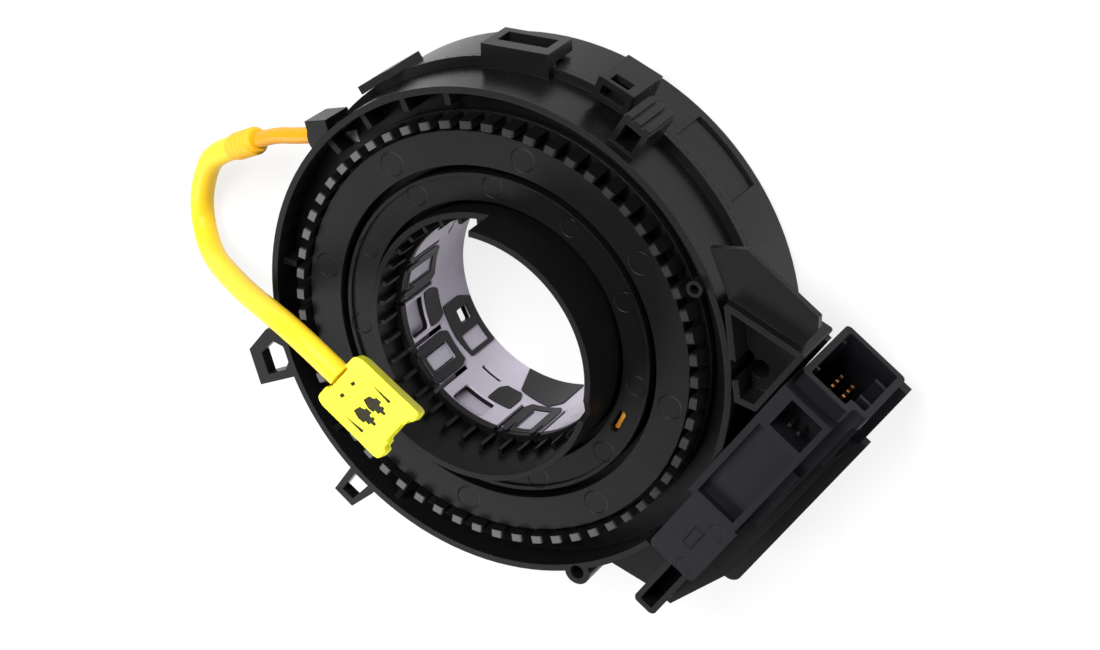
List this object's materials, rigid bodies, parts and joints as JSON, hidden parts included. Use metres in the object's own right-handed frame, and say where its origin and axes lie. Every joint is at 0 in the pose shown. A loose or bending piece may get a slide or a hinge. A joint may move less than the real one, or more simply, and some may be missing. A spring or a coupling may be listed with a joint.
{
  "type": "clock spring",
  "caption": "Steering clock spring: round case with a through bore, turning hub with an encoder ring, side connector block and a short lead with a plug.",
  "frame": {"origin": "centre of the shaft bore at the face that the part rests on, its wheel side", "axes": "+Z along the shaft axis towards the steering column, +X towards the side connector block"},
  "size_m": [0.1364, 0.1128, 0.0476],
  "materials": {
    "case_plastic": "satin moulded plastic",
    "block_plastic": "satin moulded plastic",
    "hub_plastic": "satin moulded plastic",
    "ring_plastic": "satin moulded plastic",
    "board": "coated circuit board",
    "reader": "gloss",
    "terminal_plastic": "satin",
    "pin": "plated",
    "ribbon": "film",
    "sheet": "film",
    "grommet": "matt",
    "lead": "satin",
    "collar": "matt tape",
    "sheath": "satin",
    "plug": "satin",
    "clip": "satin",
    "holder": "satin"
  },
  "bodies": {
    "stator": {"wheel_case": "case_plastic", "column_case": "case_plastic", "sensor_housing": "block_plastic", "sensor_board": "board", "photo_readers": "reader", "terminal_cover": "block_plastic", "terminal_block": "terminal_plastic", "harness_shroud": "block_plastic", "harness_terminals": "pin", "socket_terminals": "pin", "block_cover": "block_plastic", "flat_cable": "ribbon", "upper_slide_sheet": "sheet", "lead_grommet": "grommet", "lead_core": "lead", "lead_collar": "collar", "lead_sheath": "sheath", "lead_connector": "plug", "shorting_clip": "clip", "lead_terminals": "pin"},
    "rotor": {"wheel_rotor": "hub_plastic", "column_rotor": "hub_plastic", "slit_ring": "ring_plastic", "cable_end_holder": "holder", "lower_slide_sheet": "sheet", "switch_connector": "block_plastic", "airbag_connector": "plug", "switch_terminals": "pin", "airbag_terminals": "pin"}
  },
  "joints": [
    {"name": "rotor_turn", "type": "hinge", "parent": "stator", "child": "rotor", "pos_m": [0, 0, 0], "axis": [0, 0, 1], "range_deg": [-900, 900]}
  ]
}
